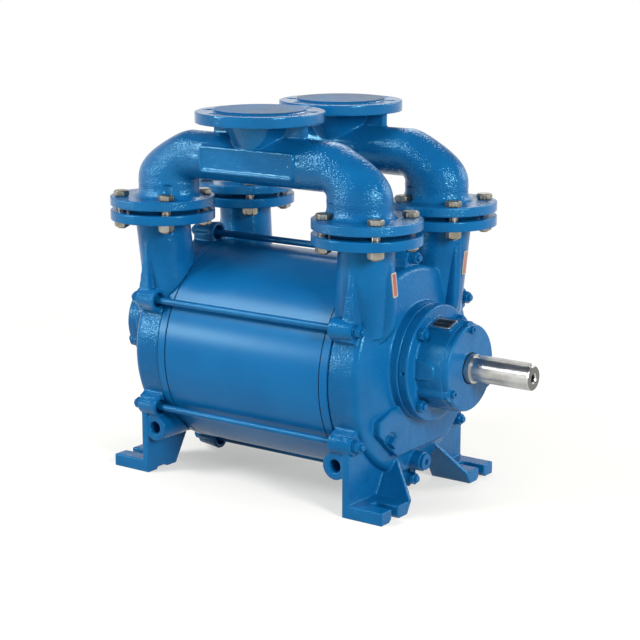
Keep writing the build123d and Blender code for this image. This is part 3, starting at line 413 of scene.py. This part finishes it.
def keep_sharp_edges(piece):
    """Marks every edge sharp where two faces meet at more than the sharp angle."""
    body = bmesh.new()
    body.from_mesh(piece.data)
    limit = math.radians(SHARP_DEGREES)
    for edge in body.edges:
        edge.smooth = len(edge.link_faces) == 2 and edge.calc_face_angle(0.0) < limit
    body.to_mesh(piece.data)
    body.free()


def welded_copy(node):
    """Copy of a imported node's mesh, its loose triangles joined at their corners."""
    copy = nodes[node].data.copy()
    shape = bmesh.new()
    shape.from_mesh(copy)
    bmesh.ops.remove_doubles(shape, verts=shape.verts, dist=WELD)
    shape.to_mesh(copy)
    shape.free()
    return copy


def points_of(mesh):
    """The mesh's points as rows of x, y and z."""
    flat = np.empty(len(mesh.vertices) * 3, np.float32)
    mesh.vertices.foreach_get("co", flat)
    return flat.reshape(-1, 3)


def settle(piece):
    """Gives the piece the mesh that its modifiers make, in their place, and returns it."""
    evaluated = piece.evaluated_get(bpy.context.evaluated_depsgraph_get())
    mesh = bpy.data.meshes.new_from_object(evaluated)
    piece.modifiers.clear()
    piece.data = mesh
    return mesh


def soften_casting(node, cell, most_triangles, finish):
    """Casting with rounded edges and filled corners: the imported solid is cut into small
    even cells, smoothed two rounds, thinned again and kept inside the solid's box."""
    piece = bpy.data.objects.new("cast_" + node, welded_copy(node))
    bpy.context.scene.collection.objects.link(piece)
    cells = piece.modifiers.new("cells", "REMESH")
    cells.mode = "VOXEL"
    cells.voxel_size = cell
    rounding = piece.modifiers.new("rounding", "SMOOTH")
    rounding.factor = 0.5
    rounding.iterations = 2
    mesh = settle(piece)
    triangles = 2 * len(mesh.polygons)
    if triangles > most_triangles:
        thinning = piece.modifiers.new("thinning", "DECIMATE")
        thinning.ratio = most_triangles / triangles
        mesh = settle(piece)
    low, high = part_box(node)
    points = np.clip(points_of(mesh), np.array(low), np.array(high))
    mesh.vertices.foreach_set("co", points.ravel())
    mesh.polygons.foreach_set("use_smooth", [True] * len(mesh.polygons))
    mesh.materials.clear()
    mesh.materials.append(finish)
    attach(piece, nodes[node]["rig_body"])
    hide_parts(node)


def solid_boxes(node):
    """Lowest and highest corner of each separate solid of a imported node. Each point starts with
    its own number and takes the smallest one along its edges, until a solid has only one."""
    mesh = welded_copy(node)
    points = points_of(mesh).astype(float)
    edges = np.empty(len(mesh.edges) * 2, np.int32)
    mesh.edges.foreach_get("vertices", edges)
    one, other = edges.reshape(-1, 2).T
    bpy.data.meshes.remove(mesh)
    number = np.arange(len(points))
    settled = False
    while not settled:
        smallest = np.minimum(number[one], number[other])
        lower = number.copy()
        np.minimum.at(lower, one, smallest)
        np.minimum.at(lower, other, smallest)
        lower = lower[lower]
        settled = (lower == number).all()
        number = lower
    solids = [points[number == first] for first in np.unique(number)]
    return [(solid.min(0), solid.max(0)) for solid in solids]


def ring_faces(rings, around):
    """Quads between neighbouring closed rings, and one face over each end ring."""
    here = np.arange(around)
    after = (here + 1) % around
    base = around * np.arange(rings - 1)[:, None]
    quads = np.stack([base + here, base + after, base + after + around, base + here + around], -1)
    caps = [here[::-1].tolist(), (here + (rings - 1) * around).tolist()]
    return quads.reshape(-1, 4).tolist() + caps


def turned(profile, flats=None, around=48, sides=6):
    """Rings along +Z: at height z the radius is the profile's, and where flats are given it is the
    smaller of that and the even-sided outline's radius flats/2 / cos(angle to the nearest flat)."""
    turn = np.linspace(0, 2 * np.pi, around, endpoint=False)
    half = np.pi / sides
    to_flat = (turn + half) % (2 * half) - half
    outline = np.full(around, np.inf) if flats is None else flats / 2 / np.cos(to_flat)
    height, radius = np.array(profile, float).T
    r = np.minimum(radius[:, None], outline[None, :])
    z = np.repeat(height[:, None], around, 1)
    points = np.stack([r * np.cos(turn), r * np.sin(turn), z], 2).reshape(-1, 3)
    return points, ring_faces(len(height), around)


def joined(parts):
    """One set of points and faces from several."""
    points, faces, base = [], [], 0
    for some, these in parts:
        points.append(some)
        faces += [[i + base for i in face] for face in these]
        base += len(some)
    return np.vstack(points), faces


def add_fasteners(name, parts, finish, node):
    """One piece of all the parts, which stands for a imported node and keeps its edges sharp."""
    piece = add_piece(name, *joined(parts), finish, slot_of_node[node], [node])
    keep_sharp_edges(piece)


def head_profile(flats, height, chamfer, sides=6):
    """Height and radius of a head or nut whose corners are turned off by a cone: from just inside
    the flats at the seat out to the corners, and in again over the chamfer at the top."""
    corner = flats / 2 / math.cos(math.pi / sides)
    face = flats / 2 * 0.96
    steps = np.linspace(0, 1, 5)
    top = [(height - chamfer * (1 - s), corner - (corner - face) * s) for s in steps]
    return [(0, face), (chamfer * 0.3, flats / 2 * 1.02), (chamfer * 0.5, corner), *top]


def thread_profile(radius, start, end, pitch=0.002):
    """Height and radius of a thread drawn as close rings, every other one at its root."""
    count = max(int(round((end - start) / pitch)), 1)
    levels = np.linspace(start, end, 2 * count + 1)
    depth = np.where(np.arange(2 * count + 1) % 2, 0.93, 1.0)
    return [(z, radius * d) for z, d in zip(levels, depth)]


FLANGE_BOLT_FLATS = 0.024


def make_flange_bolts():
    """Hexagon head, plain shank and threaded tail, at each flange bolt."""
    head, chamfer, shank = 0.010, 0.0022, 0.008
    tip, thread_start, thread_end, plain_start = shank * 0.82, 0.0012, 0.022, 0.023
    hexagon = turned(head_profile(FLANGE_BOLT_FLATS, head, chamfer), FLANGE_BOLT_FLATS)
    parts = []
    for low, high in solid_boxes("flange_bolts"):
        x, y = (low[:2] + high[:2]) / 2
        seat, tail = high[2] - head, low[2]
        parts.append((hexagon[0] + (x, y, seat), hexagon[1]))
        points, faces = turned([(0, tip), *thread_profile(shank, thread_start, thread_end),
                                (plain_start, shank), (seat - tail, shank)], around=28)
        parts.append((points + (x, y, tail), faces))
    add_fasteners("flange_hexagon_bolts", parts, zinc_plate, "flange_bolts")


def make_flange_nuts():
    """Hexagon nut under each flange bolt, its chamfer downwards."""
    chamfer = 0.002
    parts = []
    for low, high in solid_boxes("flange_nuts"):
        x, y = (low[:2] + high[:2]) / 2
        points, faces = turned(
            head_profile(FLANGE_BOLT_FLATS, high[2] - low[2], chamfer), FLANGE_BOLT_FLATS)
        points = points * (1, 1, -1) + (x, y, high[2])
        parts.append((points, [face[::-1] for face in faces]))
    add_fasteners("flange_hexagon_nuts", parts, zinc_plate, "flange_nuts")


def laid_along_x(points, faces, seat, outward, y, z):
    """A fastener turned from +Z to point along +X or -X, its seat at x = seat."""
    laid = np.stack([seat + outward * points[:, 2], y + points[:, 0], z + points[:, 1]], 1)
    return laid, faces if outward > 0 else [face[::-1] for face in faces]


def make_rod_nuts(node):
    """Chamfered hexagon nut in place of each nut of a node, its seat towards the casing."""
    flats, chamfer = 0.019, 0.002
    parts = []
    for low, high in solid_boxes(node):
        y, z = (low[1:] + high[1:]) / 2
        outward = 1.0 if low[0] > 0 else -1.0
        seat = low[0] if outward > 0 else high[0]
        nut = turned(head_profile(flats, high[0] - low[0], chamfer), flats)
        parts.append(laid_along_x(*nut, seat, outward, y, z))
    add_fasteners("turned_" + node, parts, enamel_machined, node)


def make_square_plugs():
    """Pipe plug of each end cover: chamfered square head set on its corner, a round collar under
    it and the threaded part in the cover."""
    flats, head, chamfer = 0.015, 0.011, 0.0018
    collar, collar_radius, collar_face, edge, sunk = 0.002, 0.011, 0.0105, 0.0004, 0.0002
    thread, thread_radius, thread_tip = 0.009, 0.008, 0.007
    diagonal = math.sqrt(0.5)
    corner_up = np.array([[diagonal, diagonal], [-diagonal, diagonal]])
    square, square_faces = turned(head_profile(flats, head, chamfer, 4), flats, sides=4)
    square[:, :2] = square[:, :2] @ corner_up
    body = turned([(-collar - thread, thread_tip), (-collar, thread_radius),
                   (-collar, collar_face), (-collar + edge, collar_radius),
                   (-edge, collar_radius), (sunk, collar_face)], around=40)
    parts = []
    for low, high in solid_boxes("square_drain_plugs"):
        y, z = (low[1:] + high[1:]) / 2
        outward = 1.0 if low[0] > 0 else -1.0
        seat = high[0] - head if outward > 0 else low[0] + head
        parts.append(laid_along_x(square, square_faces, seat, outward, y, z))
        parts.append(laid_along_x(*body, seat, outward, y, z))
    add_fasteners("square_head_plugs", parts, enamel_machined, "square_drain_plugs")


def make_tie_rods():
    """Plain rod with a thread and a chamfer at each end, drawn along its whole length."""
    thread_start, thread_end, plain_start, pitch = 0.001, 0.029, 0.030, 0.00175
    parts = []
    for low, high in solid_boxes("tie_rods"):
        y, z = (low[1:] + high[1:]) / 2
        length, radius = high[0] - low[0], (high[2] - low[2]) / 2
        near = [(0, radius * 0.8), *thread_profile(radius, thread_start, thread_end, pitch),
                (plain_start, radius)]
        far = [(length - level, r) for level, r in near[::-1]]
        parts.append(laid_along_x(*turned(near + far, around=32), low[0], 1.0, y, z))
    add_fasteners("threaded_tie_rods", parts, enamel_machined, "tie_rods")


CORNER_STEPS = 6


def rounded_outline(length, width, corner):
    """Rectangle of the given sides whose corners are quarter circles, as a closed ring."""
    turn = np.linspace(0, np.pi / 2, CORNER_STEPS)
    ring = []
    for quarter, (side_u, side_v) in enumerate(((1, 1), (-1, 1), (-1, -1), (1, -1))):
        angle = turn + quarter * np.pi / 2
        ring.append(np.stack([side_u * (length / 2 - corner) + corner * np.cos(angle),
                              side_v * (width / 2 - corner) + corner * np.sin(angle)], 1))
    return np.vstack(ring)


def rounded_plate(length, width, low, high, corner, edge):
    """Plate of rounded rings from height low to high, drawn in by the edge's width at the top."""
    around, least_corner = 4 * CORNER_STEPS, 1e-4
    rings = []
    for level, inset in (
            (low, 0.0), (high - edge, 0.0), (high - edge * 0.3, edge * 0.3), (high, edge)):
        ring = rounded_outline(
            length - 2 * inset, width - 2 * inset, max(corner - inset, least_corner))
        rings.append(np.column_stack([ring, np.full(around, level)]))
    return np.vstack(rings), ring_faces(len(rings), around)


def placed(piece, origin, along, across, outward):
    """The points with their three axes laid along the given directions."""
    points, faces = piece
    return origin + points @ np.array([along, across, outward]), faces


def dome(radius, height, low):
    """Rivet head: rings whose radius is the cosine and height the sine of the same angle."""
    angle = np.linspace(0, np.pi / 2 * 0.96, 6)
    profile = [(low, radius)] + [(height * math.sin(a), radius * math.cos(a)) for a in angle]
    return turned(profile, around=20)


def make_nameplate():
    """Bare aluminium plate with two dark blank fields and four rivets, on the barrel's flat."""
    barrel_axis, barrel_radius, lean = np.array([0.309, 0, 0.240]), 0.079, math.radians(107)
    face, field_offset, rivet_u, rivet_v = 0.0009, 0.0058, 0.0178, 0.0128
    outward = np.array([0, math.cos(lean), math.sin(lean)])
    along = np.array([1.0, 0, 0])
    across = np.cross(outward, along)
    directions = (along, across, outward)
    seat = barrel_axis + barrel_radius * outward
    plate = rounded_plate(0.040, 0.030, low=-0.0008, high=face, corner=0.002, edge=0.0003)
    keep_sharp_edges(add_piece(
        "blank_nameplate", *placed(plate, seat, *directions), plate_metal, "zinc_fastener"))
    field = rounded_plate(0.031, 0.0105, low=0.0004, high=0.0011, corner=0.0008, edge=0.0001)
    fields = [placed(field, seat + v * field_offset * across, *directions) for v in (-1, 1)]
    keep_sharp_edges(add_piece(
        "nameplate_fields", *joined(fields), plate_black, "black_steel"))
    rivet = dome(radius=0.0011, height=0.0009, low=-0.001)
    rivets = [
        placed(rivet, seat + face * outward + u * rivet_u * along + v * rivet_v * across,
               *directions)
        for u in (-1, 1) for v in (-1, 1)]
    add_piece("nameplate_rivets", *joined(rivets), plate_metal, "zinc_fastener")


# Each neck leans out evenly from its foot to its flange; x and y at the foot, and how much
# they grow over the neck's height.
NECK_FOOT_Z, NECK_HEIGHT = 0.300, 0.1495
NECK_FOOT_X, NECK_FOOT_Y = 0.2055, 0.111
NECK_LEAN_X, NECK_LEAN_Y = 0.013, 0.0073


def neck_axis(z, end, side):
    """Point on a neck's leaning axis at height z, for the end and side given as signs."""
    share = (z - NECK_FOOT_Z) / NECK_HEIGHT
    return np.stack([end * (NECK_FOOT_X + NECK_LEAN_X * share),
                     side * (NECK_FOOT_Y + NECK_LEAN_Y * share), z], -1)


def make_neck_ridges():
    """Cast ridge down the outer face of each neck. Its crest stands out from the neck's axis by
    the neck's radius plus a rise that grows downwards as a quarter wave and ends in another, and
    it falls off to both sides with the fourth power of the distance across."""
    rows, columns = 40, 17
    top, length, neck_radius, root = 0.428, 0.140, 0.040, 0.036
    least_rise, more_rise, full_rise_at, tail_start = 0.0083, 0.0135, 0.8, 0.72
    half_width, widening = 0.0105, 0.004
    turn_at_front, turn_at_rear = 4, 22
    z = np.linspace(top, top - length, rows)[:, None]
    s = np.linspace(-1, 1, columns)[None, :]
    down = (top - z) / length
    rise = more_rise * np.sin(np.minimum(down / full_rise_at, 1) * np.pi / 2)
    tail = np.cos(np.clip((down - tail_start) / (1 - tail_start), 0, 1) * np.pi / 2)
    reach = neck_radius + (least_rise + rise) * tail * (1 - s ** 4)
    half = half_width + widening * down
    parts = []
    for end in (-1, 1):
        for side in (-1, 1):
            angle = math.radians(turn_at_rear if side > 0 else turn_at_front)
            out = np.array([end * math.cos(angle), -side * math.sin(angle), 0])
            over = np.array([end * math.sin(angle), side * math.cos(angle), 0])
            middle = neck_axis(z, end, side) + over * (s * half)[..., None]
            parts.append(closed_skin(middle + out * reach[..., None], middle + out * root))
    add_piece("cast_neck_ridges", *joined(parts), enamel_cover, "cast_blue_paint")


def closed_skin(outer, inner):
    """Two grids of the same size joined along all four edges, with the faces turned outwards:
    they are turned round where the volume that they enclose comes out negative."""
    rows, columns = outer.shape[:2]
    base = np.arange(rows * columns).reshape(rows, columns)
    quads = np.stack([base[:-1, :-1], base[:-1, 1:], base[1:, 1:], base[1:, :-1]], -1)
    quads = quads.reshape(-1, 4)
    rim = np.concatenate([base[0, :-1], base[:-1, -1], base[-1, :0:-1], base[:0:-1, 0]])
    after = np.roll(rim, -1)
    edge = np.stack([after, rim, rim + base.size, after + base.size], -1)
    faces = np.vstack([quads, quads[:, ::-1] + base.size, edge])
    points = np.vstack([outer.reshape(-1, 3), inner.reshape(-1, 3)])
    a, b, c, d = points[faces].transpose(1, 0, 2)
    volume = (a * (np.cross(b, c) + np.cross(c, d))).sum()
    return points, (faces if volume > 0 else faces[:, ::-1]).tolist()


# Side of each drive-end neck, heights of the label's ends, its turn about the neck in degrees,
# and how far its ends stand out from the neck's axis
NECK_LABELS = [
    (-1, 0.411, 0.370, 4, 0.0522, 0.0588),
    (1, 0.412, 0.370, -6, 0.0490, 0.0492),
]


def make_labels():
    """Small blank label with a red field on each drive-end neck: on the ridge in front, on the
    plain neck at the rear."""
    width, border = 0.015, 0.0025
    borders, fields = [], []
    for side, top, foot, turn, reach_up, reach_low in NECK_LABELS:
        angle = math.radians(turn)
        outward = np.array([math.cos(angle), -side * math.sin(angle), 0])
        upper, lower = neck_axis(np.array([top, foot]), 1, side)
        along = (lower + outward * reach_low) - (upper + outward * reach_up)
        length = np.linalg.norm(along)
        along /= length
        across = np.cross(outward, along)
        across /= np.linalg.norm(across)
        centre = (upper + lower) / 2 + outward * (reach_up + reach_low) / 2
        where = (centre, along, across, np.cross(along, across))
        paper = rounded_plate(
            length, width, low=-0.0025, high=0.0003, corner=0.002, edge=0.0001)
        red = rounded_plate(length - 2 * border, width - 2 * border,
                            low=0.0, high=0.00045, corner=0.001, edge=0.00005)
        borders.append(placed(paper, *where))
        fields.append(placed(red, *where))
    add_piece("blank_label_borders", *joined(borders), label_paper, "pale_blanking")
    add_piece("blank_label_fields", *joined(fields), label_red, "pale_blanking")


# Stage, light and camera

WHITE = (1.0, 1.0, 1.0)


def area_light(name, place, aim, width, height, power):
    """Soft lamp of the given size in metres and power in watts, turned towards its aim."""
    lamp = bpy.data.lights.new(name, "AREA")
    lamp.shape = "RECTANGLE"
    lamp.size = width
    lamp.size_y = height
    lamp.energy = power
    holder = bpy.data.objects.new(name, lamp)
    holder.location = place
    holder.rotation_mode = "QUATERNION"
    holder.rotation_quaternion = (Vector(aim) - Vector(place)).to_track_quat("-Z", "Y")
    bpy.context.scene.collection.objects.link(holder)


def seen_by_eye(tree):
    """One for camera, mirror and glass rays, so that they see the pale backdrop."""
    rays = tree.nodes.new("ShaderNodeLightPath")
    plain = arithmetic(
        tree, "MAXIMUM", rays.outputs["Is Camera Ray"], rays.outputs["Is Glossy Ray"])
    return arithmetic(tree, "MAXIMUM", plain, rays.outputs["Is Transmission Ray"])


def mix_shaders(tree, share, one, other):
    """Blend from one shader to the other."""
    mix = tree.nodes.new("ShaderNodeMixShader")
    tree.links.new(share, mix.inputs["Fac"])
    tree.links.new(one, mix.inputs[1])
    tree.links.new(other, mix.inputs[2])
    return mix.outputs[0]


def light_world():
    """An even studio light for the object, and for the eye and for reflections a backdrop that is
    white at the sides and goes over into a dim ceiling."""
    fill_strength = 0.31
    wall_top, ceiling_start, ceiling = 0.14, 0.5, (0.16, 0.17, 0.19)
    world = bpy.data.worlds.new("studio")
    bpy.context.scene.world = world
    world.use_nodes = True
    tree = world.node_tree
    tree.nodes.clear()
    output = tree.nodes.new("ShaderNodeOutputWorld")
    fill = tree.nodes.new("ShaderNodeBackground")
    fill.inputs["Color"].default_value = (*WHITE, 1)
    fill.inputs["Strength"].default_value = fill_strength
    backdrop = tree.nodes.new("ShaderNodeBackground")
    direction = tree.nodes.new("ShaderNodeTexCoord").outputs["Generated"]
    upward = spread(tree, part_of(tree, direction, "Z"), wall_top, ceiling_start)
    tree.links.new(mix_colour(tree, upward, WHITE, ceiling), backdrop.inputs["Color"])
    both = mix_shaders(tree, seen_by_eye(tree), fill.outputs[0], backdrop.outputs[0])
    tree.links.new(both, output.inputs["Surface"])


def lay_floor():
    """Wide pale floor that keeps the object's shadow and fades into the backdrop. Its glow is
    weaker in an oval under the pump: a painted shadow, which also darkens the floor's reflection in
    the pump's underside."""
    size = 6.0
    floor_colour, glow_colour = (0.50, 0.49, 0.465), (1.0, 1.0, 0.965)
    # Painted shadow: the glow is weaker in an oval under the pump, standing in for its shade on the
    # floor
    oval, oval_start, oval_end = (1.0, 1.35, 1.0), 0.08, 0.50
    glow_in_painted_shadow, glow_around = 0.41, 0.52
    fade_start, fade_end = 0.7, 1.7
    mesh = bpy.data.meshes.new("floor")
    mesh.from_pydata([(-size, -size, 0), (size, -size, 0), (size, size, 0), (-size, size, 0)],
                     [], [(0, 1, 2, 3)])
    floor = bpy.data.objects.new("floor", mesh)
    bpy.context.scene.collection.objects.link(floor)
    material = bpy.data.materials.new("pale_floor")
    material.use_nodes = True
    tree = material.node_tree
    tree.nodes.clear()
    output = tree.nodes.new("ShaderNodeOutputMaterial")
    where = tree.nodes.new("ShaderNodeTexCoord").outputs["Object"]
    matt = tree.nodes.new("ShaderNodeBsdfDiffuse")
    matt.inputs["Color"].default_value = (*floor_colour, 1)
    glow = tree.nodes.new("ShaderNodeEmission")
    glow.inputs["Color"].default_value = (*glow_colour, 1)
    stretched = tree.nodes.new("ShaderNodeVectorMath")
    stretched.operation = "MULTIPLY"
    stretched.inputs[1].default_value = oval
    tree.links.new(where, stretched.inputs[0])
    # Glow strength with the painted shadow: weaker inside the oval under the pump, full outside it
    glow_with_painted_shadow = spread(tree, length_of(tree, stretched.outputs[0]), oval_start, oval_end,
                        glow_in_painted_shadow, glow_around)
    lift = arithmetic(tree, "MULTIPLY", seen_by_eye(tree), glow_with_painted_shadow)
    tree.links.new(lift, glow.inputs["Strength"])
    lit = tree.nodes.new("ShaderNodeAddShader")
    tree.links.new(matt.outputs[0], lit.inputs[0])
    tree.links.new(glow.outputs[0], lit.inputs[1])
    clear = tree.nodes.new("ShaderNodeBsdfTransparent")
    fade = spread(tree, length_of(tree, where), fade_start, fade_end)
    both = mix_shaders(tree, fade, lit.outputs[0], clear.outputs[0])
    tree.links.new(both, output.inputs["Surface"])
    mesh.materials.append(material)


def set_camera():
    """Camera at the photograph's angle, distance and focal length."""
    azimuth, elevation = math.radians(35.60), math.radians(12.71)
    distance = 3.16087
    target = Vector((0.01636, 0.03185, 0.27289))
    back = Vector((math.sin(azimuth) * math.cos(elevation),
                   -math.cos(azimuth) * math.cos(elevation), math.sin(elevation)))
    data = bpy.data.cameras.new("camera")
    data.sensor_width = 36.0
    data.lens = 99.40
    data.clip_start = 0.05
    data.clip_end = 60.0
    camera = bpy.data.objects.new("camera", data)
    camera.location = target + back * distance
    camera.rotation_mode = "QUATERNION"
    camera.rotation_quaternion = (-back).to_track_quat("-Z", "Y")
    bpy.context.scene.collection.objects.link(camera)
    bpy.context.scene.camera = camera


def light_studio():
    """Soft light above and to the front left, a small one lower on the left whose reflection runs
    along the casing, one from the right and two behind."""
    middle = (0.0, 0.0, 0.3)
    area_light("key_softbox", (-1.9, -2.0, 2.5), middle, 1.35, 1.0, 80.0)
    area_light("low_softbox", (-1.95, -2.3, 0.85), middle, 0.6, 0.45, 26.0)
    area_light("side_softbox", (2.9, -1.2, 1.5), middle, 0.8, 1.1, 98.0)
    area_light("rear_softbox", (-1.1, 2.1, 2.2), middle, 1.3, 0.9, 22.0)
    area_light("rear_side_softbox", (1.7, 2.3, 1.5), middle, 1.2, 1.2, 26.0)


bpy.context.scene.view_settings.view_transform = "Standard"
set_camera()
light_world()
lay_floor()
light_studio()
dress_nodes()

# Castings with the most triangles that each may keep, and their finish
CASTING_CELL = 0.0016
CASTINGS = [
    ("end_cover_drive_end", 190000, enamel_cover),
    ("end_cover_free_end", 190000, enamel_cover),
    ("front_manifold", 150000, enamel_cast),
    ("rear_manifold", 150000, enamel_cast),
    ("bearing_housing_drive_end", 90000, enamel_cover),
    ("bearing_housing_free_end", 90000, enamel_cover),
]
for casting, most_triangles, finish in CASTINGS:
    soften_casting(casting, CASTING_CELL, most_triangles, finish)

make_flange_bolts()
make_flange_nuts()
make_rod_nuts("tie_rod_nuts")
make_rod_nuts("housing_nuts")
make_tie_rods()
make_square_plugs()
make_nameplate()
make_neck_ridges()
make_labels()
